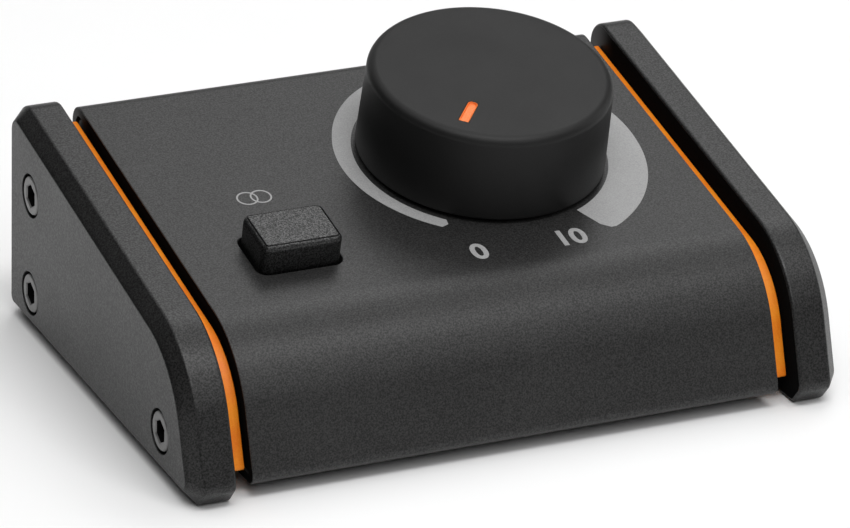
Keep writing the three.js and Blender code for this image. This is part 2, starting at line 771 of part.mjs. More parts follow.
// Potentiometer under the top, held by a washer and a nut on its threaded bushing
const potTop = -shellWall - potTopGap;
const potBore = shaftRadius + bushingBoreGap;
const potBody = turned([
  [0, potTop - potDepth],
  [potRadius - potEdge, potTop - potDepth],
  [potRadius, potTop - potDepth + potEdge],
  [potRadius, potTop],
  [bushingRadius, potTop],
  [bushingRadius, bushingHeight],
  [potBore, bushingHeight],
  [potBore, -shaftBelowPanel - stackGap],
  [0, -shaftBelowPanel - stackGap],
], roundFacets);
place('pot_body', potBody, plainSteel, knobFrame);
const nutBore = bushingRadius + nutBoreGap;
const washerTop = stackGap + potWasherThickness;
const potWasher = turned([
  [nutBore, stackGap],
  [potWasherRadius, stackGap],
  [potWasherRadius, washerTop],
  [nutBore, washerTop],
], roundFacets);
place('pot_washer', potWasher, plainSteel, knobFrame);
const nutBottom = washerTop + stackGap;
const potNutBlank = rod(hexRadius(potNutFlats), nutBottom, nutBottom + potNutThickness, hexSides);
const potNutBore = rod(nutBore, 0, nutBottom + potNutThickness + cutOverrun);
place('pot_nut', carve(potNutBlank, [potNutBore]), plainSteel, knobFrame);

// Button cap, built from rounded outlines: flange, skirt, shoulder and the raised top
const buttonFrame = new THREE.Group();
buttonFrame.position.set(buttonX, -buttonFromBack, 0);
topFrame.add(buttonFrame);

function capSection(height, inset) {
  return {
    at: height,
    outline: roundedRectangle(
      buttonWidth - 2 * inset,
      buttonLength - 2 * inset,
      buttonCornerRadius - inset / 2,
      cornerSteps,
    ),
  };
}

const capBottom = -buttonSkirtDepth;
const flangeTop = capBottom + buttonFlangeThickness;
const shoulder = buttonProud - buttonTopStep;
const capBlank = lofted([
  capSection(capBottom, 0),
  capSection(shoulder - buttonEdge, 0),
  capSection(shoulder, buttonEdge),
]);
const capTop = lofted([
  capSection(shoulder - buttonEdge, buttonTopInset),
  capSection(buttonProud - buttonEdge, buttonTopInset),
  capSection(buttonProud, buttonTopInset + buttonEdge),
]);
const capFlange = lofted([
  capSection(capBottom, -buttonFlangeWidth),
  capSection(flangeTop, -buttonFlangeWidth),
]);
const plungerTop = capBottom + plungerInCap;
const plungerBore = plungerWidth + 2 * plungerGap;
const plungerSocket = block(plungerBore, plungerBore, 2 * plungerInCap).translate(0, 0, capBottom);
place('button_cap', carve(capBlank, [plungerSocket], [capTop, capFlange]), buttonPlastic, buttonFrame);
const controlBoardTop = -controlBoardDepth;
const switchBottom = controlBoardTop + stackGap;
const plungerBottom = switchBottom + switchFloor + buttonTravel + plungerFloorGap;
const plungerLength = plungerTop - plungerGap - plungerBottom;
const plunger = block(plungerWidth, plungerWidth, plungerLength)
  .translate(0, 0, plungerBottom + plungerLength / 2);
place('switch_plunger', plunger, blackPlastic, buttonFrame);

// Switch between the pressed button and the control board
const switchTop = capBottom - buttonTravel - switchTravelGap;
const switchHeight = switchTop - switchBottom;
const switchBlank = block(switchWidth, switchWidth, switchHeight)
  .translate(0, 0, switchBottom + switchHeight / 2);
const switchBore = block(plungerBore, plungerBore, 2 * (switchHeight - switchFloor))
  .translate(0, 0, switchTop);
place('switch_body', carve(switchBlank, [switchBore]), blackPlastic, buttonFrame);

// Control board, parallel to the top
const controlBoardLeft = buttonX - controlBoardPastButton;
const controlBoardRight = knobX + controlBoardPastKnob;
const controlBoardWidth = controlBoardRight - controlBoardLeft;
const controlBoardLength = controlBoardFrontEdge - controlBoardBackEdge;
const controlBoard = block(controlBoardWidth, controlBoardLength, boardThickness);
place('control_board', controlBoard, boardGreen, topFrame).position.set(
  (controlBoardRight + controlBoardLeft) / 2,
  -(controlBoardFrontEdge + controlBoardBackEdge) / 2,
  controlBoardTop - boardThickness / 2,
);

// Main board on the tray's bosses
const mainBoardBackY = shellBackInnerY - mainBoardBackGap;
const mainBoardBlank = block(mainBoardWidth, mainBoardBackY - mainBoardFrontY, boardThickness)
  .translate(0, (mainBoardBackY + mainBoardFrontY) / 2, mainBoardZ + boardThickness / 2);
const mainBoardHoles = boardScrewPlaces.map(({ x, y }) => rod(
  boardScrewShankRadius + screwHoleGap,
  mainBoardZ - cutOverrun,
  mainBoardTopZ + cutOverrun,
  smallFacets,
).translate(x, y, 0));
place('main_board', carve(mainBoardBlank, mainBoardHoles), boardGreen);
const boardScrew = turned([
  [0, -boardScrewLength],
  [boardScrewShankRadius, -boardScrewLength],
  [boardScrewShankRadius, stackGap],
  [boardScrewHeadRadius, stackGap],
  [boardScrewHeadRadius * boardScrewTopShare, boardScrewHeadHeight],
  [0, boardScrewHeadHeight],
], smallFacets);
for (const { label, x, y } of boardScrewPlaces) {
  place(`board_screw_${label}`, boardScrew, plainSteel).position.set(x, y, mainBoardTopZ);
}

// Ribbon from the underside of the control board round to the main board
const ribbonY = backY - controlBoardBackEdge - ribbonBeforeBoardEdge;
const controlUnderside = line(topNormal, topOrigin, controlBoardDepth + boardThickness);
const ribbonBulge = (ribbonLeg + ribbonThickness) / 2;
const ribbonFront = line(backNormal, new THREE.Vector2(ribbonY - ribbonBulge, 0));
const ribbonCeiling = meet(controlUnderside, ribbonFront).y;
const ribbonTop = ribbonCeiling - ribbonGap;
const ribbonBottom = mainBoardTopZ + ribbonGap;
const ribbonRise = (ribbonTop - ribbonBottom) / 2;
const ribbonMidZ = (ribbonTop + ribbonBottom) / 2;
function ribbonArc(radius) {
  const end = ribbonY + ribbonLeg;
  return [
    new THREE.Vector2(end, ribbonMidZ + radius),
    ...Array.from({ length: bendSteps + 1 }, (_, i) => {
      const angle = Math.PI / 2 + i / bendSteps * Math.PI;
      return new THREE.Vector2(ribbonY + radius * Math.cos(angle), ribbonMidZ + radius * Math.sin(angle));
    }),
    new THREE.Vector2(end, ribbonMidZ - radius),
  ];
}
const ribbonOutline = [...ribbonArc(ribbonRise), ...ribbonArc(ribbonRise - ribbonThickness).reverse()];
place('ribbon_cable', drawnOut(ribbonOutline, ribbonWidth), ribbonGrey);

// Jack sockets: body on the main board, nose through the back wall, washer and nut outside
const jackNoseEndY = shellBackY + jackBehindShell;
const jackBodyOutline = roundedRectangle(jackBodyWidth, jackBodyHeight, jackBodyEdge);
const jackBody = lofted([
  { at: 0, outline: jackBodyOutline },
  { at: jackBodyDepth, outline: jackBodyOutline },
]);
const noseLength = jackNoseEndY - jackBodyBackY;
const jackNose = rod(jackNoseRadius, -noseLength, jackBodyEdge);
const jackBore = rod(jackBoreRadius, -noseLength - cutOverrun, jackBoreDepth - noseLength);
const jack = carve(jackBody, [jackBore], [jackNose]);
const jackNutBore = jackNoseRadius + nutBoreGap;
const jackWasher = turned([
  [jackNutBore, 0],
  [jackWasherRadius, 0],
  [jackWasherRadius, jackWasherThickness],
  [jackNutBore, jackWasherThickness],
], roundFacets);
const jackNut = carve(
  rod(hexRadius(jackNutFlats), 0, jackNutThickness, hexSides),
  [rod(jackNutBore, -cutOverrun, jackNutThickness + cutOverrun)],
);
const jackLabels = ['in_left', 'in_right', 'out_left', 'out_right'];
const washerY = shellBackY + stackGap;
const nutY = washerY + jackWasherThickness + stackGap;
jackXs.forEach((x, i) => {
  const label = jackLabels[i] ?? String(i + 1);
  const lying = [
    [`jack_${label}`, jack, blackPlastic, jackBodyBackY, 1],
    [`jack_washer_${label}`, jackWasher, plainSteel, washerY, -1],
    [`jack_nut_${label}`, jackNut, plainSteel, nutY, -1],
  ];
  for (const [name, geometry, material, y, facing] of lying) {
    const mesh = place(name, geometry, material);
    mesh.position.set(x, y, jackZ);
    mesh.rotation.x = facing * Math.PI / 2;
  }
});

// The origin moves under the middle of the finished object.
const bounds = new THREE.Box3().setFromObject(pieces, true);
pieces.position.y = -(bounds.min.y + bounds.max.y) / 2;
const part = new THREE.Group();
part.add(pieces);

export default part;
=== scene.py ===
import json
import math
import bmesh
import bpy
from mathutils import Euler, Matrix, Vector


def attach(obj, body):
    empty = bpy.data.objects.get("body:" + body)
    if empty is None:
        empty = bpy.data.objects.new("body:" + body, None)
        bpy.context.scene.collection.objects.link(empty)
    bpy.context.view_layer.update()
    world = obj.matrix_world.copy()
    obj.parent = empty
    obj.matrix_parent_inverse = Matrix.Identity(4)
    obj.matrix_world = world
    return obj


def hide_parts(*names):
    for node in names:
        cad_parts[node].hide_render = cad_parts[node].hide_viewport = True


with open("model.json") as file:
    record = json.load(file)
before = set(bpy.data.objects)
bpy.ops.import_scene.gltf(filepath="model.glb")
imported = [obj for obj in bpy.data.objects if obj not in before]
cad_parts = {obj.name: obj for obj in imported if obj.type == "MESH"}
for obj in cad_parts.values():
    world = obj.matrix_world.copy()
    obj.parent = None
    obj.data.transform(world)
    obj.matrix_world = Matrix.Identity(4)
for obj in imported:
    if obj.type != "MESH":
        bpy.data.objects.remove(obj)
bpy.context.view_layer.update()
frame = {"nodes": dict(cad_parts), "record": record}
scene = bpy.context.scene
mm = 0.001
print("frame loaded,", len(frame["nodes"]), "nodes")

# the case in side view, in millimetres, as the solids have it
case = {
    "halfWidth": 55, "depth": 79.6, "backHeight": 37.65, "backY": 37.902,
    "slope": 11.1, "lean": 19.3, "bend": 18.7, "backCorner": 4.5,
    "shellInset": 1.33, "shellEnd": 44.5, "cheekInner": 47.6,
}
sides = ((-1, "left"), (1, "right"))
overrun = 2  # how far a cutter reaches past what it cuts
slope = math.radians(case["slope"])
lean = math.radians(case["lean"])
backTop = Vector((case["backY"], case["backHeight"]))
frontFoot = Vector((case["backY"] - case["depth"], 0))


def lineThrough(normal, point, inset=0.0):
    return normal, normal.dot(point) - inset


def meet(first, second):
    (n, reach), (m, far) = first, second
    turn = n.cross(m)
    return Vector(((reach * m.y - far * n.y) / turn, (far * n.x - reach * m.x) / turn))


def sideLines(inset, backInset, floorZ):
    top = lineThrough(Vector((-math.sin(slope), math.cos(slope))), backTop, inset)
    front = lineThrough(Vector((-math.cos(lean), math.sin(lean))), frontFoot, inset)
    back = lineThrough(Vector((1, 0)), backTop, backInset)
    floor = lineThrough(Vector((0, -1)), Vector((0, floorZ)))
    return top, front, back, floor


# corners are (point, radius, steps); the path turns round each of them
def rounded(corners, closed=True):
    path = []
    for i, (point, radius, steps) in enumerate(corners):
        if radius <= 0 or (not closed and i in (0, len(corners) - 1)):
            path.append(point.copy())
            continue
        before = (corners[i - 1][0] - point).normalized()
        after = (corners[(i + 1) % len(corners)][0] - point).normalized()
        half = before.angle(after) / 2
        middle = point + (before + after).normalized() * radius / math.sin(half)
        spoke = point + before * radius / math.tan(half) - middle
        end = point + after * radius / math.tan(half) - middle
        turn = math.atan2(spoke.cross(end), spoke.dot(end))
        for step in range(steps + 1):
            path.append(middle + Matrix.Rotation(turn * step / steps, 2) @ spoke)
    return path


def roundedBox(width, length, radius, steps):
    x, y = width / 2, length / 2
    return rounded([(Vector(c), radius, steps) for c in ((x, y), (-x, y), (-x, -y), (x, -y))])


def at(x, y, z):
    return Matrix.Translation((x * mm, y * mm, z * mm))


# screws look out of the sides, jack sockets out of the back
def onSide(side, x, y, z):
    return at(x, y, z) @ Matrix.Rotation(side * math.pi / 2, 4, "Y")


def onBack(x, y, z):
    return at(x, y, z) @ Matrix.Rotation(-math.pi / 2, 4, "X")


# places on the sloping top: x, distance from the back, height over the coat
topOrigin = meet(sideLines(case["shellInset"], 0, 0)[0], sideLines(0, 0, 0)[2])
topFrame = at(0, topOrigin.x, topOrigin.y) @ Matrix.Rotation(slope, 4, "X")


def onTop(x, fromBack, height=0.0):
    return topFrame @ at(x, -fromBack, height)


# rings of points in millimetres, all of one length, joined to a closed skin
def loft(rings, around=False):
    bm = bmesh.new()
    grid = [[bm.verts.new(Vector(p) * mm) for p in ring] for ring in rings]
    count = len(grid[0])
    pairs = list(zip(grid, grid[1:])) + ([(grid[-1], grid[0])] if around else [])
    for low, high in pairs:
        for i in range(count):
            j = (i + 1) % count
            bm.faces.new((low[i], low[j], high[j], high[i]))
    if not around:
        bm.faces.new(grid[0][::-1])
        bm.faces.new(grid[-1])
    bmesh.ops.remove_doubles(bm, verts=bm.verts, dist=1e-7)
    bmesh.ops.recalc_face_normals(bm, faces=bm.faces)
    return bm


# a profile of (radius, height) turned about Z, on the axis at both ends or closed on itself
def spun(profile, steps):
    profile = [Vector(p) for p in profile]
    closed = profile[0].x > 0 or profile[-1].x > 0
    rings = []
    for i in range(steps):
        angle = 2 * math.pi * i / steps
        rings.append([(p.x * math.cos(angle), p.x * math.sin(angle), p.y) for p in profile])
    bm = bmesh.new()
    grid = [[bm.verts.new(Vector(p) * mm) for p in ring] for ring in rings]
    last = len(profile) if closed else len(profile) - 1
    for i in range(steps):
        here, there = grid[i], grid[(i + 1) % steps]
        for k in range(last):
            m = (k + 1) % len(profile)
            corners = [here[k], there[k], there[m], here[m]]
            if profile[k].x <= 0:
                corners = [here[k], there[m], here[m]]
            elif profile[m].x <= 0:
                corners = [here[k], there[k], here[m]]
            bm.faces.new(corners)
    bmesh.ops.remove_doubles(bm, verts=bm.verts, dist=1e-7)
    bmesh.ops.recalc_face_normals(bm, faces=bm.faces)
    return bm


def polar(radius, degrees):
    return Vector((radius * math.cos(math.radians(degrees)), radius * math.sin(math.radians(degrees))))


def hexagon(flats):
    return [polar(flats / math.sqrt(3), 60 * i) for i in range(6)]


def alongX(path, x):
    return [(x, p.x, p.y) for p in path]


def upright(path, z):
    return [(p.x, p.y, z) for p in path]


def meshObject(name, bm, matrix=None):
    mesh = bpy.data.meshes.new(name)
    if matrix is not None:
        bm.transform(matrix)
    bm.to_mesh(mesh)
    bm.free()
    piece = bpy.data.objects.new(name, mesh)
    scene.collection.objects.link(piece)
    return piece


# joins and cuts by other meshes, which are used up
def worked(piece, cutters=(), additions=()):
    for operation, tools in (("UNION", additions), ("DIFFERENCE", cutters)):
        for tool in tools:
            step = piece.modifiers.new("work", "BOOLEAN")
            step.operation, step.object, step.solver = operation, tool, "EXACT"
    bpy.context.view_layer.update()
    shaped = piece.evaluated_get(bpy.context.evaluated_depsgraph_get())
    mesh = bpy.data.meshes.new_from_object(shaped)
    piece.modifiers.clear()
    old, piece.data = piece.data, mesh
    bpy.data.meshes.remove(old)
    for tool in [*cutters, *additions]:
        bpy.data.objects.remove(tool)


def softened(piece, width, segments=2, angle=30):
    step = piece.modifiers.new("edge", "BEVEL")
    step.width, step.segments, step.angle_limit = width * mm, segments, math.radians(angle)
    step.limit_method = "ANGLE"
    worked(piece)


def smooth(piece, angle=30):
    piece.data.polygons.foreach_set("use_smooth", [True] * len(piece.data.polygons))
    piece.data.set_sharp_from_angle(angle=math.radians(angle))
    step = piece.modifiers.new("normals", "WEIGHTED_NORMAL")
    step.keep_sharp, step.weight = True, 60
    return piece


# finish, body and slot of a made piece, and the node that it stands for
def fitted(piece, body, slot, node):
    if not piece.data.materials:
        piece.data.materials.append(finishes[slot])
    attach(piece, body)
    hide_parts(node)


# painted shade: a second, near-black finish on the flat end faces that look into the grooves
def paintShadeOnEnds(piece, x):
    piece.data.materials.append(paintedShadeFinish)
    for face in piece.data.polygons:
        if abs(face.normal.x) > 0.99 and abs(abs(face.center.x) - x * mm) < 0.05 * mm:
            face.material_index = 1


# a shader socket that takes part in Python sums
class Value:
    def __init__(self, finish, socket):
        self.finish, self.socket = finish, socket

    def joined(self, operation, first, second):
        return self.finish.node("Math", {"operation": operation}, {0: first, 1: second})

    def __add__(self, other):
        return self.joined("ADD", self, other)

    def __radd__(self, other):
        return self.joined("ADD", other, self)

    def __sub__(self, other):
        return self.joined("SUBTRACT", self, other)

    def __rsub__(self, other):
        return self.joined("SUBTRACT", other, self)

    def __mul__(self, other):
        return self.joined("MULTIPLY", self, other)

    def sine(self):
        return self.finish.node("Math", {"operation": "SINE"}, {0: self})

    def above(self, low, high):
        return self.finish.node("MapRange", {"interpolation_type": "SMOOTHSTEP"},
                                {"Value": self, "From Min": low, "From Max": high})


class Finish:
    def __init__(self, name, **constants):
        self.material = bpy.data.materials.new(name)
        self.material.use_nodes = True
        self.tree = self.material.node_tree
        self.shader = self.tree.nodes["Principled BSDF"]
        for socket, value in constants.items():
            self.shader.inputs[socket.replace("_", " ")].default_value = value
        self.place = self.node("TexCoord", out="Object")

    # settings go in first, then the values or links of the sockets
    def node(self, kind, settings=None, sockets=None, out=0):
        made = self.tree.nodes.new("ShaderNode" + kind)
        for key, value in (settings or {}).items():
            setattr(made, key, value)
        for key, value in (sockets or {}).items():
            self.feed(made.inputs[key], value)
        return Value(self, made.outputs[out])

    def feed(self, socket, value):
        if isinstance(value, Value):
            self.tree.links.new(value.socket, socket)
        else:
            socket.default_value = value

    def noise(self, scale, detail=2, roughness=0.5):
        return self.node("TexNoise", None, {"Vector": self.place, "Scale": scale,
                                            "Detail": detail, "Roughness": roughness})

    def cells(self, scale, stretch=None):
        vector = self.place
        if stretch:
            vector = self.node("VectorMath", {"operation": "MULTIPLY"}, {0: vector, 1: stretch})
        return self.node("TexVoronoi", None, {"Vector": vector, "Scale": scale}, "Distance")

    def axis(self, letter):
        return self.node("SeparateXYZ", None, {0: self.place}, out=letter)

    # sockets 6 and 7 are the mix node's two colours
    def blend(self, mask, first, second):
        return self.node("Mix", {"data_type": "RGBA"}, {0: mask, 6: first, 7: second}, out=2)

    def bump(self, height, strength, distance):
        return self.node("Bump", None, {"Height": height, "Strength": strength, "Distance": distance * mm})

    def made(self, colour, roughness=None, normal=None, metallic=None, coat=None):
        given = {"Base Color": colour, "Roughness": roughness, "Normal": normal,
                 "Metallic": metallic, "Coat Weight": coat}
        for socket, value in given.items():
            if value is not None:
                self.feed(self.shader.inputs[socket], value)
        return self.material


def grey(value, warm=0.0):
    return (value * (1 + warm), value, value * (1 - warm), 1)


coats = {
    "cheek": {"dark": grey(0.003), "light": grey(0.036, 0.01), "rough": 0.40, "grain": 3500,
              "bump": 0.44, "gloss": 0.25, "flake": 0.54},
    "shell": {"dark": grey(0.010), "light": grey(0.050, 0.01), "rough": 0.41, "grain": 3800,
              "bump": 0.40, "gloss": 0.25, "flake": 0.37},
    # where the painted shade on the outer faces of the cheeks begins and where it is full
    "outerShadeFrom": 54.32, "outerShadeTo": 54.955,
}


# dark and light tone of the other finishes, mixed by their grain
tones = {
    # the groove tones are painted shade, near black
    "groove": (grey(0.003), grey(0.02)),
    "accent": ((0.88, 0.175, 0.003, 1), (1.0, 0.335, 0.012, 1)),
    "pointer": ((0.80, 0.14, 0.014, 1), (0.92, 0.25, 0.040, 1)),
    "knob": (grey(0.0005), grey(0.005, 0.01)),
    "button": (grey(0.0004), grey(0.007)),
    "ink": (grey(0.24), grey(0.42)),
    "nickel": (grey(0.46, 0.02), grey(0.62, 0.03)),
    "brass": ((0.56, 0.38, 0.13, 1), (0.72, 0.52, 0.22, 1)),
    "oxide": (grey(0.065), grey(0.24, 0.01)),
    "rubber": (grey(0.012), grey(0.030)),
    "plastic": (grey(0.012), grey(0.028)),
    "laminate": ((0.010, 0.075, 0.028, 1), (0.020, 0.135, 0.050, 1)),
    "ribbon": (grey(0.20), grey(0.36)),
    "paper": (grey(0.90), grey(0.93)),
}


# powder coat: a fine orange-peel grain, glossier and lighter on its crests,
# with painted shade that darkens the outer faces of the cheeks and dulls their coat
def powderCoat(name, look):
    finish = Finish(name, Specular_IOR_Level=look["gloss"], Coat_Roughness=look["rough"] - 0.04)
    grain = finish.noise(look["grain"], 3, 0.62)
    mottle = finish.noise(95, 4, 0.55)
    speck = finish.cells(look["grain"] * 0.5).above(0.3, 0.08)
    crest = grain.above(0.34, 0.69)
    side = finish.axis("X")
    # painted shade: the outer faces of the cheeks are darkened and given less coat
    paintedOuterShade = (side * side).above((coats["outerShadeFrom"] * mm) ** 2, (coats["outerShadeTo"] * mm) ** 2)
    mask = (crest * 0.5 + (mottle - 0.5) * 0.2 + speck * 0.3) * (1 - paintedOuterShade * 0.6)
    rough = look["rough"] + (grain - 0.5) * 0.2 + (mottle - 0.5) * 0.08
    height = grain * 0.7 + finish.noise(look["grain"] * 0.3, 2, 0.5) * 0.5
    flake = (crest * 0.8 + 0.14 - paintedOuterShade * 0.2) * look["flake"]
    return finish.made(finish.blend(mask, look["dark"], look["light"]), rough,
                       finish.bump(height, look["bump"], 0.05), coat=flake)


# painted shade for the walls of the grooves: near black and matt, with painted light towards the open back
def paintedShadeBlack():
    finish = Finish("paintedShadeBlack", Specular_IOR_Level=0.0, Coat_Roughness=0.4)
    grain = finish.noise(2600, 3, 0.6)
    # painted light: lighter and glossier towards the open back of the groove
    paintedBackLight = finish.axis("Y").above(0.029, 0.037)
    colour = finish.blend(grain * 0.4 + paintedBackLight * 0.6, *tones["groove"])
    return finish.made(colour, 0.75 + grain * 0.2, finish.bump(grain, 0.3, 0.04), coat=paintedBackLight * 0.5)


def accentPaint():
    finish = Finish("accentOrange", Specular_IOR_Level=0.4, Coat_Roughness=0.3)
    grain = finish.noise(4200, 3, 0.66).above(0.25, 0.75)
    mottle = finish.noise(170, 4, 0.6)
    colour = finish.blend(mottle.above(0.3, 0.7) * 0.6 + grain * 0.4, *tones["accent"])
    return finish.made(colour, 0.4 + grain * 0.14, finish.bump(grain, 0.3, 0.04), coat=grain * 0.14)


def pointerPaint():
    finish = Finish("pointerOrange", Specular_IOR_Level=0.5)
    grain = finish.noise(2600, 2, 0.5)
    colour = finish.blend(grain, *tones["pointer"])
    return finish.made(colour, 0.36 + grain * 0.12, finish.bump(grain, 0.1, 0.03))


# rubbery knob: nearly black, silky, with faint handling marks
def softTouch():
    finish = Finish("softTouch", Specular_IOR_Level=0.35)
    grain = finish.noise(4200, 3, 0.6)
    marks = finish.noise(70, 5, 0.62)
    colour = finish.blend(marks * 0.4 + grain * 0.4, *tones["knob"])
    rough = 0.52 + (marks - 0.5) * 0.14 + (grain - 0.5) * 0.12
    return finish.made(colour, rough, finish.bump(grain * 0.7 + marks * 0.5, 0.5, 0.05))


# spark-eroded plastic of the button, sparkling on top and dark at its sides
def sparkPlastic():
    finish = Finish("sparkPlastic", Specular_IOR_Level=0.26, Coat_Roughness=0.34)
    pits = finish.cells(2700).above(0.08, 0.5)
    grain = finish.noise(3800, 3, 0.68).above(0.36, 0.66)
    colour = finish.blend(pits * grain, *tones["button"])
    return finish.made(colour, 0.36 + grain * 0.1, finish.bump(pits * 0.6 + grain * 0.6, 0.72, 0.05),
                       coat=grain * pits * 1.5)


def printInk():
    finish = Finish("printInk", Specular_IOR_Level=0.4)
    grain = finish.noise(4300, 3, 0.66).above(0.25, 0.75)
    patches = finish.noise(120, 3, 0.5)
    colour = finish.blend(grain * 0.6 + patches * 0.35, *tones["ink"])
    return finish.made(colour, 0.5 + grain * 0.2, finish.bump(grain, 0.35, 0.04))


def metal(name, rough):
    finish = Finish(name)
    lines = finish.noise(900, 4, 0.6)
    spots = finish.noise(260, 3, 0.5)
    colour = finish.blend(lines * 0.6 + spots * 0.4, *tones[name])
    return finish.made(colour, rough + (lines - 0.5) * 0.2 + (spots - 0.5) * 0.1,
                       finish.bump(lines, 0.08, 0.02), metallic=0.92 + spots * 0.08)


def blackOxide():
    finish = Finish("blackOxide", Specular_IOR_Level=0.8)
    grain = finish.noise(2300, 3, 0.66)
    spots = finish.noise(700, 3, 0.6)
    colour = finish.blend(spots * 0.6 + grain * 0.4, *tones["oxide"])
    return finish.made(colour, 0.36 + grain * 0.14, finish.bump(grain * 0.6 + spots * 0.5, 0.4, 0.04),
                       metallic=0.3 + spots * 0.3)


def rubber():
    finish = Finish("footRubber", Specular_IOR_Level=0.3)
    grain = finish.noise(2600, 4, 0.6)
    colour = finish.blend(grain, *tones["rubber"])
    return finish.made(colour, 0.74 + grain * 0.2, finish.bump(grain, 0.4, 0.05))


def blackPlastic():
    finish = Finish("blackPlastic", Specular_IOR_Level=0.5)
    grain = finish.noise(1900, 3, 0.6)
    colour = finish.blend(grain, *tones["plastic"])
    return finish.made(colour, 0.38 + grain * 0.22, finish.bump(grain, 0.2, 0.03))


# solder mask over the weave of the laminate
def boardLaminate():
    finish = Finish("boardLaminate", Coat_Roughness=0.25)
    weave = (finish.axis("X") * 5200).sine() * (finish.axis("Y") * 5200).sine()  # threads 1.2 mm apart
    tracks = finish.cells(420, (1, 0.35, 1)).above(0.42, 0.36)
    colour = finish.blend(tracks * 0.5, *tones["laminate"])
    return finish.made(colour, 0.34 + weave * 0.05, finish.bump(weave + tracks, 0.1, 0.03),
                       coat=0.35 + tracks * 0.2)


# grey ribbon with a fine line between its wires
def ribbonGrey():
    finish = Finish("ribbonGrey", Specular_IOR_Level=0.4)
    ridge = (finish.axis("X") * 4947).sine()  # wires 1.27 mm apart
    colour = finish.blend(ridge * 0.5 + 0.5, *tones["ribbon"])
    return finish.made(colour, 0.5 + ridge * 0.06, finish.bump(ridge, 0.5, 0.1))


finishes = {
    "cheek_coat": powderCoat("cheekCoat", coats["cheek"]),
    "shell_coat": powderCoat("shellCoat", coats["shell"]),
    "accent_coat": accentPaint(),
    "knob_soft_touch": softTouch(),
    "indicator_orange": pointerPaint(),
    "button_plastic": sparkPlastic(),
    "black_steel": blackOxide(),
    "plain_steel": metal("nickel", 0.3),
    "insert_brass": metal("brass", 0.32),
    "foot_rubber": rubber(),
    "board_laminate": boardLaminate(),
    "black_plastic": blackPlastic(),
    "ribbon_grey": ribbonGrey(),
}
inkFinish = printInk()
# near-black painted shade for the grooves, the screw sockets and the base tray
paintedShadeFinish = paintedShadeBlack()
slotOf = {row["node"]: row["material_slot"] for row in frame["record"]["subparts"]}
# the base tray, seen only deep inside the grooves, takes the painted shade finish
for node, obj in frame["nodes"].items():
    obj.data.materials.clear()
    obj.data.materials.append(paintedShadeFinish if node == "base_tray" else finishes[slotOf[node]])
print("finishes made:", len(finishes) + 2)


cheek = {
    "bevelAcross": 2.1, "bevelDown": 2.4, "bevelBack": 1.9, "floorGap": 0.25,
    "footHeight": 3.4, "footDepth": 2.6, "footRadius": 1.8, "footLow": 0.9, "backFoot": 1.0,
    "innerRound": 0.55, "topRound": 0.6, "faceRound": 0.4, "innerIn": 2.2, "outerIn": 0.16,
    "seatRadius": 3.55, "seatDepth": 3.6, "holeRadius": 1.85, "seatEdge": 0.16,
}
screwSpots = {
    "back_high": (case["backY"] - 10.3, case["backHeight"] - 13.45),
    "back_low": (case["backY"] - 10.3, 7.3),
    "front": (frontFoot.x + 14.4, 8.2),
}


def cheekOutline(inset):
    top, front, back, floor = sideLines(inset, inset * cheek["bevelBack"] / cheek["bevelDown"],
                                        cheek["floorGap"] + inset)
    bevelTop = Vector((frontFoot.x + cheek["footHeight"] * math.tan(lean), cheek["footHeight"]))
    rise = cheek["footHeight"] - cheek["floorGap"]
    foot = lineThrough(Vector((-rise, -cheek["footDepth"])).normalized(), bevelTop, inset)
    return rounded([
        (meet(back, top), case["backCorner"] - inset, 12),
        (meet(top, front), case["bend"] - inset, 32),
        (meet(front, foot), cheek["footRadius"], 6),
        (meet(foot, floor), cheek["footLow"], 5),
        (meet(floor, back), cheek["backFoot"], 5),
    ])


# the cheek seen from the front: x across, y is how far the outline has drawn in
def cheekSection():
    inner, outer = case["cheekInner"], case["halfWidth"]
    return rounded([
        (Vector((inner, cheek["innerIn"])), 0, 0),
        (Vector((inner, 0)), cheek["innerRound"], 7),
        (Vector((outer - cheek["bevelAcross"], 0)), cheek["topRound"], 4),
        (Vector((outer, cheek["bevelDown"])), cheek["faceRound"], 4),
        (Vector((outer, cheek["bevelDown"] + cheek["outerIn"])), 0, 0),
    ], closed=False)


def screwWell(side, y, z):
    start, face = case["cheekInner"] - overrun, case["halfWidth"]
    hole, seat, e = cheek["holeRadius"], cheek["seatRadius"], cheek["seatEdge"]
    deep = face - cheek["seatDepth"]
    well = spun([
        (0, start), (hole, start), (hole, deep), (seat, deep),
        (seat, face - e), (seat + e * 0.3, face - e * 0.3), (seat + e, face + 0.02),
        (seat + e, face + overrun), (0, face + overrun),
    ], 72)
    return meshObject("well", well, onSide(side, 0, y, z))


def makeCheek(side, label):
    rings = [alongX(cheekOutline(p.y), side * p.x) for p in cheekSection()]
    piece = meshObject(f"cheek_{label}_coated", loft(rings))
    worked(piece, [screwWell(side, *spot) for spot in screwSpots.values()])
    smooth(piece, 28)
    fitted(piece, "housing", "cheek_coat", f"cheek_{label}")
    paintShadeOnEnds(piece, case["cheekInner"])


for side, label in sides:
    makeCheek(side, label)
print("cheeks made")


capScrew = {
    "head": 3.15, "headHeight": 3.1, "edge": 0.35, "sunk": 0.03,
    "shank": 1.6, "reach": 12, "tipIn": 0.3, "tipUp": 0.35, "plain": 1.2, "pitch": 0.7, "threadDepth": 0.22,
    "socketFlats": 3.35, "socketDepth": 2.0, "socketEdge": 0.2, "drillRadius": 1.45, "drillDeep": 0.55,
    "underEdge": 0.1, "paintedShadeBelow": 0.35,
}


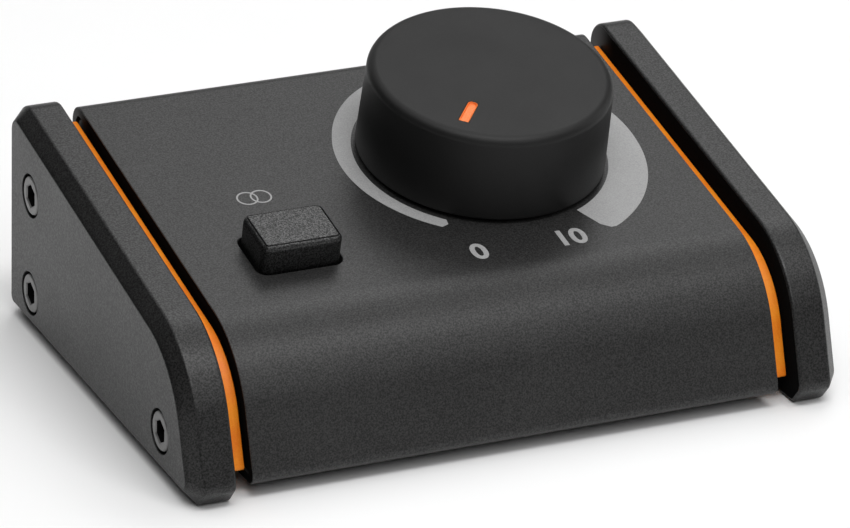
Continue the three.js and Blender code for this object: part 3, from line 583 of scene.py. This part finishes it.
def makeCapScrew():
    s = capScrew
    head, shank, under, tipZ = s["head"], s["shank"], -s["headHeight"], -s["reach"]
    profile = [(0, tipZ), (shank - s["tipIn"], tipZ), (shank, tipZ + s["tipUp"])]
    z = tipZ + s["pitch"]
    while z < under - s["plain"]:  # rolled thread, as rings
        profile += [(shank, z), (shank - s["threadDepth"], z + s["pitch"] / 2)]
        z += s["pitch"]
    profile += [(shank, under - s["plain"] / 2), (shank, under),
                (head - s["underEdge"], under), (head, under + s["underEdge"])]
    profile += rounded([(Vector((head, -1)), 0, 0), (Vector((head, 0)), s["edge"], 5),
                        (Vector((0.5, 0)), 0, 0)], closed=False)[1:-1]
    piece = meshObject("capScrew", spun(profile + [(0, 0)], 64))
    e, flats, deep = s["socketEdge"], s["socketFlats"], -s["socketDepth"]
    wide = flats + 2 * e
    walls = ((flats, deep), (flats, deep * 0.35), (flats, -e), (wide, 0.01), (wide, 1))
    socket = loft([upright(hexagon(across), z) for across, z in walls])
    drill = spun([(0, deep - s["drillDeep"]), (s["drillRadius"], deep + 0.1), (0, deep + 0.1)], 32)
    worked(piece, [meshObject("socket", socket), meshObject("drill", drill)])
    piece.data.materials.append(finishes["black_steel"])
    piece.data.materials.append(paintedShadeFinish)
    for face in piece.data.polygons:  # painted shade deep in the socket and below the head
        if face.center.z < -s["paintedShadeBelow"] * mm and face.center.xy.length < head * 0.9 * mm:
            face.material_index = 1
    return smooth(piece)


# one form in several places, each copy standing for its own node
def placedCopies(source, slot, suffix, places):
    for node, matrix in places.items():
        piece = bpy.data.objects.new(f"{node}_{suffix}", source.data)
        scene.collection.objects.link(piece)
        for step in source.modifiers:
            twin = piece.modifiers.new(step.name, step.type)
            twin.keep_sharp, twin.weight = step.keep_sharp, step.weight
        piece.matrix_world = matrix
        fitted(piece, "housing", slot, node)
    bpy.data.objects.remove(source)


capScrews = {}
for side, label in sides:
    for spot, (y, z) in screwSpots.items():
        x = side * (case["halfWidth"] - capScrew["sunk"])
        capScrews[f"cheek_screw_{label}_{spot}"] = onSide(side, x, y, z)
placedCopies(makeCapScrew(), "black_steel", "socket_head", capScrews)
print("cheek screws made")


plate = {
    "inset": 3.9, "backInset": 3.2, "floorGap": 3.9, "corner": 0.8, "footCorner": 0.35,
    "near": 44.65, "far": 47.35, "edge": 0.2, "faceIn": 1,
}


def plateOutline(drawn):
    top, front, back, floor = sideLines(plate["inset"] + drawn, plate["backInset"] + drawn,
                                        plate["floorGap"] + drawn)
    return rounded([
        (meet(back, top), plate["corner"], 5),
        (meet(top, front), case["bend"] - plate["inset"] - drawn, 32),
        (meet(front, floor), plate["footCorner"], 4),
        (meet(floor, back), plate["footCorner"], 4),
    ])


def makePlate(side, label):
    near, far, e, hole = plate["near"], plate["far"], plate["edge"], cheek["holeRadius"]
    section = rounded([(Vector((near, plate["faceIn"])), 0, 0), (Vector((near, 0)), e, 3),
                       (Vector((far, 0)), e, 3), (Vector((far, plate["faceIn"])), 0, 0)], closed=False)
    rings = [alongX(plateOutline(p.y), side * p.x) for p in section]
    piece = meshObject(f"accent_plate_{label}_painted", loft(rings))
    start, end = near - overrun, far + overrun
    holes = []
    for y, z in screwSpots.values():
        rod = spun([(0, start), (hole, start), (hole, end), (0, end)], 48)
        holes.append(meshObject("hole", rod, onSide(side, 0, y, z)))
    worked(piece, holes)
    smooth(piece)
    fitted(piece, "housing", "accent_coat", f"accent_plate_{label}")


for side, label in sides:
    makePlate(side, label)
print("accent plates made")


shell = {
    "wall": 1.5, "floorGap": 2.25, "foot": 1.6, "footInner": 0.5, "lip": 15, "endEdge": 0.16, "endIn": 0.6,
    "jackHole": 5.2, "bushingHole": 4.7, "holeEdge": 0.15, "openingEdge": 0.18,
}
dial = {"x": 12.998, "fromBack": 32.103}
button = {
    "x": -26.998, "fromBack": 49.702, "width": 13.4, "length": 9.6, "corner": 1.4, "gap": 0.5,
    "proud": 4.75, "stepIn": 0.5, "rimRound": 1.0, "groove": 0.15, "grooveDeep": 0.3, "topRound": 0.16,
    "sideFrom": 0.4, "grooveRound": 0.03, "topIn": 2.2, "leastCorner": 0.3,
    "skirt": 3.0, "flange": 0.9, "flangeThick": 0.9, "flangeEdge": 0.1,
    "plungerHole": 3.8, "plungerCorner": 0.2, "plungerIn": 3.5,
}
baseScrew = {
    "x": 24, "head": 2.5, "headEdge": 0.06, "tall": 1.2, "recess": 0.1, "gap": 0.1,
    "shank": 1.25, "length": 4.3, "tip": 0.3, "pitch": 0.44, "threadDepth": 0.18,
    "crossTop": (2.9, 0.72), "crossFloor": (1.5, 0.5), "crossDeep": 1.0, "crossCorner": 0.1,
}
jackSpots = {"in_left": -30, "in_right": -10, "out_left": 10, "out_right": 30}
jackZ = 14.05
shellBack = case["backY"] - case["shellInset"]
lipFront = meet(*(sideLines(case["shellInset"], 0, shell["floorGap"])[i] for i in (1, 3))).x
lipSpots = {
    "front": lipFront + (shell["lip"] + shell["foot"] / math.tan((math.pi / 2 - lean) / 2)) / 2,
    "back": shellBack - (shell["lip"] + shell["foot"]) / 2,
}


def shellPath(depth):
    drawn = case["shellInset"] + depth
    z = shell["floorGap"] + depth
    top, front, back, floor = sideLines(drawn, drawn, z)
    foot = max(shell["foot"] - depth, shell["footInner"])
    return rounded([
        (Vector((lipFront + shell["lip"], z)), 0, 0),
        (meet(front, floor), foot, 6),
        (meet(top, front), case["bend"] - drawn, 36),
        (meet(back, top), case["backCorner"] - drawn, 10),
        (meet(floor, back), foot, 6),
        (Vector((shellBack - shell["lip"], z)), 0, 0),
    ], closed=False)


def shellBand(drawn):
    return shellPath(drawn) + shellPath(shell["wall"])[::-1]


# cutters reach past the sheet on both sides and flare where they meet its face
def makeOpening():
    b, e = button, shell["openingEdge"]
    rings = []
    for z, grow in ((-2 * overrun, 0), (-e, 0), (-e * 0.35, e * 0.2), (0, e), (overrun, e)):
        gap = b["gap"] + grow
        outline = roundedBox(b["width"] + 2 * gap, b["length"] + 2 * gap, b["corner"] + gap, 8)
        rings.append(upright(outline, z))
    return meshObject("opening", loft(rings), onTop(b["x"], b["fromBack"]))


def roundHole(radius, matrix):
    e, deep = shell["holeEdge"], -2 * overrun
    profile = [(0, deep), (radius, deep), (radius, -e), (radius + e * 0.25, -e * 0.3),
               (radius + e, 0.01), (radius + e, overrun), (0, overrun)]
    return meshObject("hole", spun(profile, 64), matrix)


def screwSink(x, y):
    s, gap, recess = baseScrew, baseScrew["gap"], baseScrew["recess"]
    head, hole, under = s["head"] + gap, s["shank"] + gap, recess + s["tall"] + gap
    sink = spun([(0, -overrun), (head + gap, -overrun), (head, recess), (hole, under),
                 (hole, 2 * overrun), (0, 2 * overrun)], 48)
    return meshObject("sink", sink, at(x, y, shell["floorGap"]))


def makeShell():
    end, e = case["shellEnd"], shell["endEdge"]
    ends = rounded([(Vector((end, shell["endIn"])), 0, 0), (Vector((end, 0)), e, 3), (Vector((0, 0)), 0, 0)],
                   closed=False)[1:-1]
    stations = [(-p.x, p.y) for p in ends] + [(p.x, p.y) for p in reversed(ends)]
    piece = meshObject("top_shell_coated", loft([alongX(shellBand(d), x) for x, d in stations]))
    cutters = [makeOpening(), roundHole(shell["bushingHole"], onTop(dial["x"], dial["fromBack"]))]
    cutters += [roundHole(shell["jackHole"], onBack(x, shellBack, jackZ)) for x in jackSpots.values()]
    cutters += [screwSink(side * baseScrew["x"], y) for y in lipSpots.values() for side in (-1, 1)]
    worked(piece, cutters)
    smooth(piece, 28)
    fitted(piece, "housing", "shell_coat", "top_shell")
    paintShadeOnEnds(piece, case["shellEnd"])


makeShell()
print("shell made")


knob = {
    "baseRadius": 20, "topRadius": 19.55, "height": 15.53, "hover": 0.7, "topEdge": 1.6, "baseEdge": 0.35,
    "skirt": 2.2, "skirtEdge": 0.25, "skirtRoot": 0.8, "ceiling": 4, "bore": 5.8, "boreTop": 12.7,
    "boss": 8.4, "bossBottom": 4.4, "bossEdge": 0.3, "bossRoot": 0.5, "topRings": (16.8, 8),
    "slotDepth": 0.9, "slotGap": 0.03, "slotEdge": 0.12,
}
pointer = {
    "angle": -130, "inner": 9.9, "outer": 15.8, "width": 1.6, "lift": 0.1, "below": 0.04, "sunk": 0.34,
    "innerShare": 0.4, "outerShare": 0.12, "edge": 0.16,
}


def pointerOutline(margin):
    width = pointer["width"] + 2 * margin
    inner, outer = pointer["inner"] - margin, pointer["outer"] + margin
    innerRound, outerRound = width * pointer["innerShare"], width * pointer["outerShare"]
    return rounded([
        (Vector((outer, width / 2)), outerRound, 5), (Vector((inner, width / 2)), innerRound, 8),
        (Vector((inner, -width / 2)), innerRound, 8), (Vector((outer, -width / 2)), outerRound, 5),
    ])


def makeKnob():
    k, top = knob, knob["height"]
    skirtIn = k["baseRadius"] - k["skirt"]
    ceilingZ = top - k["ceiling"]
    skin = rounded([
        (Vector((k["bore"], k["boreTop"])), 0, 0),
        (Vector((k["bore"], k["bossBottom"])), k["bossEdge"], 3),
        (Vector((k["boss"], k["bossBottom"])), k["bossEdge"], 3),
        (Vector((k["boss"], ceilingZ)), k["bossRoot"], 3),
        (Vector((skirtIn, ceilingZ)), k["skirtRoot"], 4),
        (Vector((skirtIn, k["hover"])), k["skirtEdge"], 3),
        (Vector((k["baseRadius"], k["hover"])), k["baseEdge"], 5),
        (Vector((k["topRadius"], top)), k["topEdge"], 10),
        (Vector((0, top)), 0, 0),
    ], closed=False)
    profile = [(0, k["boreTop"]), *skin[:-1], *((ring, top) for ring in k["topRings"]), (0, top)]
    seat = onTop(dial["x"], dial["fromBack"])
    piece = meshObject("volume_knob_soft", spun(profile, 180), seat)
    e, floorZ = k["slotEdge"], top - k["slotDepth"]
    slot = loft([upright(pointerOutline(k["slotGap"] + grow), z) for z, grow in
                 ((floorZ, 0), (top - e, 0), (top - e * 0.3, e * 0.3), (top + 0.01, e), (top + overrun, e))])
    turned = seat @ Matrix.Rotation(math.radians(pointer["angle"]), 4, "Z")
    worked(piece, [meshObject("slot", slot, turned)])
    smooth(piece)
    fitted(piece, "knob", "knob_soft_touch", "volume_knob")

    # the paint lines the slot: a low rim round a sunken floor
    rim, e, sunk = top - pointer["below"], pointer["edge"], pointer["sunk"]
    bar = loft([upright(pointerOutline(grow), z) for z, grow in
                ((floorZ + pointer["lift"], 0), (rim - 0.04, 0), (rim, -0.04), (rim - 0.02, -e * 0.7),
                 (rim - sunk * 0.8, -e), (rim - sunk, -e * 1.5))])
    bar = meshObject("knob_indicator_inlay", bar, turned)
    smooth(bar)
    fitted(bar, "knob", "indicator_orange", "knob_indicator")


makeKnob()
print("knob made")


def makeButton():
    b = button
    top, rimRound, inset = b["proud"], b["rimRound"], b["stepIn"]

    def ring(grow, z):
        return upright(roundedBox(b["width"] + 2 * grow, b["length"] + 2 * grow,
                                  max(b["corner"] + grow * 1.5, b["leastCorner"]), 8), z)

    rim = [Vector((0, b["sideFrom"]))]
    for i in range(9):  # the rim turns over until the groove cuts it
        t = i / 8 * math.acos(1 - inset / rimRound)
        rim.append(Vector((rimRound * (math.cos(t) - 1), top - rimRound * (1 - math.sin(t)))))
    grooveZ, inner, soft = top - b["grooveDeep"], -inset - b["groove"], b["grooveRound"]
    rim += rounded([(Vector((-inset, top - 0.05)), 0, 0), (Vector((-inset - 0.02, grooveZ)), soft, 2),
                    (Vector((inner, grooveZ)), soft, 2), (Vector((inner - soft, top)), b["topRound"], 4),
                    (Vector((-b["topIn"], top)), 0, 0)], closed=False)[1:]
    low, high, f, e = -b["skirt"], -b["skirt"] + b["flangeThick"], b["flange"], b["flangeEdge"]
    flange = [(f - e, low), (f, low + e), (f, high - e), (f - e, high), (0, high)]
    seat = onTop(b["x"], b["fromBack"])
    piece = meshObject("button_cap_spark", loft([ring(*p) for p in flange + rim]), seat)
    outline = roundedBox(b["plungerHole"], b["plungerHole"], b["plungerCorner"], 2)
    hole = loft([upright(outline, z) for z in (low - overrun, low + b["plungerIn"])])
    worked(piece, [meshObject("hole", hole, seat)])
    smooth(piece)
    fitted(piece, "button", "button_plastic", "button_cap")


makeButton()
print("button made")


ink = {"lift": 0.006, "thick": 0.02}
inkLow, inkHigh = ink["lift"], ink["lift"] + ink["thick"]
arc = {
    "inner": 20.57, "start": 232.8, "end": -65.9, "corner": 2.0, "tip": 2.6, "steps": 180,
    # outer radius at some angles, 0 to the right and 90 to the back
    "outer": [(-66, 27.5), (-60, 27.5), (-44, 27.3), (-30, 27.0), (-7, 26.5), (12, 26.35), (60, 25.6),
              (115, 24.7), (124, 24.5), (140, 24.0), (154, 23.6), (180, 23.3), (210, 22.9), (232, 22.75)],
}
numbers = {"size": 5.46, "heavy": 0.16, "fromBack": 57.6, "x": {"0": 1.6, "10": 17.2}}
ringPair = {"radius": 1.75, "stroke": 0.27, "fromBack": 34.9, "x": {"left": -28.1, "right": -25.8}}


def printed(piece):
    piece.data.materials.clear()
    piece.data.materials.append(inkFinish)
    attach(piece, "housing")


def outerRadius(angle):
    table = arc["outer"]
    for (a, ra), (b, rb) in zip(table, table[1:]):
        if angle <= b:
            return ra + (rb - ra) * (angle - a) / (b - a)
    return table[-1][1]


# a strip in short steps, with one outer corner rounded and the thin end half round
def makeArc():
    start, end, tip, steps = arc["start"], arc["end"], arc["tip"], arc["steps"]
    corner = math.degrees(arc["corner"] / arc["outer"][0][1])
    rings = []
    for i in range(steps + 1):
        angle = end + (start - end) * i / steps
        inner, outer = arc["inner"], outerRadius(angle)
        if angle < end + corner:
            short = 1 - (angle - end) / corner
            outer -= arc["corner"] * (1 - math.sqrt(max(1 - short * short, 0)))
        if angle > start - tip:
            part = (angle - start + tip) / tip
            drawn = (outer - inner) / 2 * (1 - max(1 - part ** 4, 0) ** 0.25 * 0.98)
            inner, outer = inner + drawn, outer - drawn
        near, far = polar(inner, angle), polar(outer, angle)
        rings.append([(*near, inkLow), (*far, inkLow), (*far, inkHigh), (*near, inkHigh)])
    printed(meshObject("printed_level_arc", loft(rings), onTop(dial["x"], dial["fromBack"])))


# plain figures from the built-in face, made heavier
def makeNumber(text, x):
    curve = bpy.data.curves.new("number", "FONT")
    curve.body, curve.align_x, curve.align_y = text, "CENTER", "CENTER"
    curve.size, curve.offset = numbers["size"] * mm, numbers["heavy"] * mm
    curve.extrude, curve.resolution_u = ink["thick"] * mm / 2, 8
    source = bpy.data.objects.new("number", curve)
    scene.collection.objects.link(source)
    bpy.context.view_layer.update()
    mesh = bpy.data.meshes.new_from_object(source.evaluated_get(bpy.context.evaluated_depsgraph_get()))
    bpy.data.objects.remove(source)
    mesh.transform(onTop(x, numbers["fromBack"], (inkLow + inkHigh) / 2))
    piece = bpy.data.objects.new(f"printed_number_{text}", mesh)
    scene.collection.objects.link(piece)
    printed(piece)


# two thin rings that overlap: both channels summed to one
def makeRing(label, x):
    radius, steps = ringPair["radius"], 64
    outer, inner = ([polar(edge, 360 * i / steps) for i in range(steps)]
                    for edge in (radius, radius - ringPair["stroke"]))
    rings = [upright(outer, inkLow), upright(outer, inkHigh), upright(inner, inkHigh), upright(inner, inkLow)]
    printed(meshObject(f"printed_ring_{label}", loft(rings, around=True), onTop(x, ringPair["fromBack"])))


makeArc()
for text, x in numbers["x"].items():
    makeNumber(text, x)
for label, x in ringPair["x"].items():
    makeRing(label, x)
print("print made")


jack = {
    "body": 14, "bodyHeight": 10.8, "bodyDepth": 25.6, "bodyCorner": 0.8, "bodyEdge": 0.3, "bodyGap": 0.3,
    "nose": 4.9, "noseLength": 5.5, "noseIn": 0.8, "noseEdge": 0.35,
    "threadFrom": 1, "pitch": 0.75, "threadDepth": 0.24, "flat": 0.18,
    "bore": 3.25, "boreDepth": 30.6, "boreFlare": 0.55,
}
washer = {"bore": 5.05, "radius": 7, "thick": 0.5, "gap": 0.1, "boreEdge": 0.08, "edge": 0.12}
nut = {"flats": 13, "bore": 5.05, "thick": 2.2, "edge": 0.5, "faceIn": 0.1, "lead": 0.3}


def makeJack():
    j, nose, bore, end, e = jack, jack["nose"], jack["bore"], jack["noseLength"], jack["noseEdge"]
    z = j["threadFrom"]
    profile = [(0, -j["noseIn"]), (nose, -j["noseIn"]), (nose, z)]
    while z < end - 2 * e:
        profile += [(nose, z + j["flat"]), (nose - j["threadDepth"], z + j["pitch"] / 2),
                    (nose, z + j["pitch"] - j["flat"])]
        z += j["pitch"]
    profile += [(nose, end - e), (nose - 0.3, end), (0, end)]
    thread = meshObject("thread", spun(profile, 72))
    outline = roundedBox(j["body"], j["bodyHeight"], j["bodyCorner"], 4)
    body = meshObject("jackBody", loft([upright(outline, z) for z in
                                        (-j["bodyDepth"], -j["bodyDepth"] + 0.01, -0.01, 0)]))
    softened(body, j["bodyEdge"])
    deep = end - j["boreDepth"]
    mouth = bore + j["boreFlare"]
    hollow = spun([(0, deep), (bore, deep), (bore, end - 2 * e), (bore + 0.12, end - e),
                   (mouth, end + 0.01), (mouth, end + 1), (0, end + 1)], 64)
    worked(body, [meshObject("hollow", hollow)], [thread])
    return smooth(body)


def makeWasher():
    w = washer
    return smooth(meshObject("washer", spun(rounded([
        (Vector((w["bore"], 0)), w["boreEdge"], 2), (Vector((w["radius"], 0)), w["edge"], 3),
        (Vector((w["radius"], w["thick"])), w["edge"], 3),
        (Vector((w["bore"], w["thick"])), w["boreEdge"], 2),
    ]), 80)))


def makeNut():
    thick, edge, lead, bore = nut["thick"], nut["edge"], nut["lead"], nut["bore"]
    face, corner = nut["flats"] / 2 - nut["faceIn"], nut["flats"] / math.sqrt(3) + 0.02
    blank = meshObject("nut", loft([upright(hexagon(nut["flats"]), z) for z in (0, thick)]))
    turned = meshObject("turned", spun([
        (0, -1), (face - 0.1, -1), (face, 0), (corner, edge), (corner, thick - edge),
        (face, thick), (face - 0.1, thick + 1), (0, thick + 1)], 96))
    step = blank.modifiers.new("chamfer", "BOOLEAN")
    step.operation, step.object, step.solver = "INTERSECT", turned, "EXACT"
    worked(blank)
    bpy.data.objects.remove(turned)
    hole = spun([(0, -overrun), (bore + lead, -overrun), (bore + lead, 0), (bore, lead), (bore, thick - lead),
                 (bore + lead, thick), (bore + lead, thick + overrun), (0, thick + overrun)], 64)
    worked(blank, [meshObject("hole", hole)])
    return smooth(blank, 25)


jacks, washers, nuts = {}, {}, {}
for label, x in jackSpots.items():
    jacks[f"jack_{label}"] = onBack(x, shellBack - shell["wall"] - jack["bodyGap"], jackZ)
    washers[f"jack_washer_{label}"] = onBack(x, shellBack + washer["gap"], jackZ)
    nuts[f"jack_nut_{label}"] = onBack(x, shellBack + 2 * washer["gap"] + washer["thick"], jackZ)
placedCopies(makeJack(), "black_plastic", "socket", jacks)
placedCopies(makeWasher(), "plain_steel", "rounded", washers)
placedCopies(makeNut(), "plain_steel", "chamfered", nuts)
print("jack sockets made")


foot = {
    "x": 36, "fromLip": 10.6, "radius": 3.5, "height": 2.15, "hollow": 2.6, "hollowDeep": 0.18, "rim": 2.9,
    "lowEdge": 0.32, "topEdge": 0.15, "topRing": 1,
}


def makeFoot():
    f, radius, height = foot, foot["radius"], foot["height"]
    path = rounded([(Vector((f["hollow"], f["hollowDeep"])), 0, 0), (Vector((f["rim"], 0)), 0, 0),
                    (Vector((radius, 0)), f["lowEdge"], 5), (Vector((radius, height)), f["topEdge"], 3),
                    (Vector((f["topRing"], height)), 0, 0)], closed=False)
    return smooth(meshObject("foot", spun([(0, f["hollowDeep"]), *path, (0, height)], 64)))


def makeBaseScrew():
    s, tip, e = baseScrew, baseScrew["tip"], baseScrew["headEdge"]
    head, shank, low, length = s["head"], s["shank"], s["recess"], s["length"]
    under = low + s["tall"]
    profile = [(0, low), (head - e, low), (head, low + e), (shank, under)]
    z = under + tip
    while z < length - 2 * tip:
        profile += [(shank, z), (shank - s["threadDepth"], z + s["pitch"] / 2)]
        z += s["pitch"]
    profile += [(shank, length - tip), (shank - tip, length), (0, length)]
    piece = meshObject("baseScrew", spun(profile, 48))
    arms = []
    for turn in (0, 90):
        arm = loft([upright(roundedBox(*across, s["crossCorner"], 2), z) for across, z in
                    ((s["crossTop"], -1), (s["crossTop"], low), (s["crossFloor"], s["crossDeep"]))])
        arms.append(meshObject("arm", arm, Matrix.Rotation(math.radians(turn), 4, "Z")))
    worked(piece, arms)
    return smooth(piece)


feet, baseScrews = {}, {}
footSpots = {"front": lipFront + foot["fromLip"], "back": shellBack - foot["fromLip"]}
for end, y in lipSpots.items():
    for side, label in sides:
        feet[f"foot_{end}_{label}"] = at(side * foot["x"], footSpots[end], 0)
        baseScrews[f"base_screw_{end}_{label}"] = at(side * baseScrew["x"], y, shell["floorGap"])
placedCopies(makeFoot(), "foot_rubber", "moulded", feet)
placedCopies(makeBaseScrew(), "black_steel", "cross", baseScrews)
print("feet and base screws made")


stage = {"world": 0.008, "floorSize": 3.0}
# power, width and height, place, target
lights = {
    "ceilingSoft": (12.2, (2.0, 2.0), (0.1, 0.3, 1.1), (0.1, 0.3, 0.0)),
    "backRightKey": (2.0, (0.5, 0.5), (0.5, 0.62, 1.1), (0, 0, 0)),
    "backLow": (6.0, (3.0, 0.9), (0.5, 2.2, 0.5), (0, 0, 0.1)),
    "rightSoft": (2.9, (1.0, 0.6), (1.35, 0.0, 0.5), (0, 0, 0.02)),
    "frontLow": (0.6, (1.2, 0.5), (0.75, -1.5, 0.30), (0, 0, 0.02)),
    "frontHigh": (7.1, (1.5, 0.8), (0.0, -1.15, 1.05), (0, 0, 0.02)),
    "frontTop": (6.2, (1.0, 0.3), (0.0, -0.45, 1.15), (0, 0, 0.02)),
}


def makeFloor():
    finish = Finish("floorPaper", Specular_IOR_Level=0.2)
    tone = finish.noise(14, 4)
    material = finish.made(finish.blend(tone, *tones["paper"]), 0.7 + tone * 0.1)
    bm = bmesh.new()
    bmesh.ops.create_grid(bm, x_segments=8, y_segments=8, size=stage["floorSize"])
    floor = meshObject("floor", bm)
    floor.data.materials.append(material)


def areaLight(name, power, size, place, target):
    lamp = bpy.data.lights.new(name, "AREA")
    lamp.shape, lamp.energy = "RECTANGLE", power
    lamp.size, lamp.size_y = size
    holder = bpy.data.objects.new(name, lamp)
    scene.collection.objects.link(holder)
    holder.location = place
    aim = Vector(target) - Vector(place)
    holder.rotation_euler = aim.to_track_quat("-Z", "Y").to_euler()


makeFloor()
for name, settings in lights.items():
    areaLight(name, *settings)
world = bpy.data.worlds.new("studio")
scene.world = world
world.use_nodes = True
world.node_tree.nodes["Background"].inputs["Color"].default_value = (1, 1, 1, 1)
world.node_tree.nodes["Background"].inputs["Strength"].default_value = stage["world"]

view = {"place": (-0.34601, -0.73698, 0.38653), "turn": (65.4874, -1.806, -24.3957),
        "lens": 240.015, "sensor": 36}
lens = bpy.data.cameras.new("camera")
lens.lens, lens.sensor_width, lens.sensor_fit = view["lens"], view["sensor"], "HORIZONTAL"
lens.clip_start, lens.clip_end = 0.01, 20
camera = bpy.data.objects.new("camera", lens)
scene.collection.objects.link(camera)
camera.location = view["place"]
camera.rotation_euler = Euler([math.radians(a) for a in view["turn"]], "XYZ")
scene.camera = camera
scene.view_settings.view_transform = "Standard"
print("stage made")
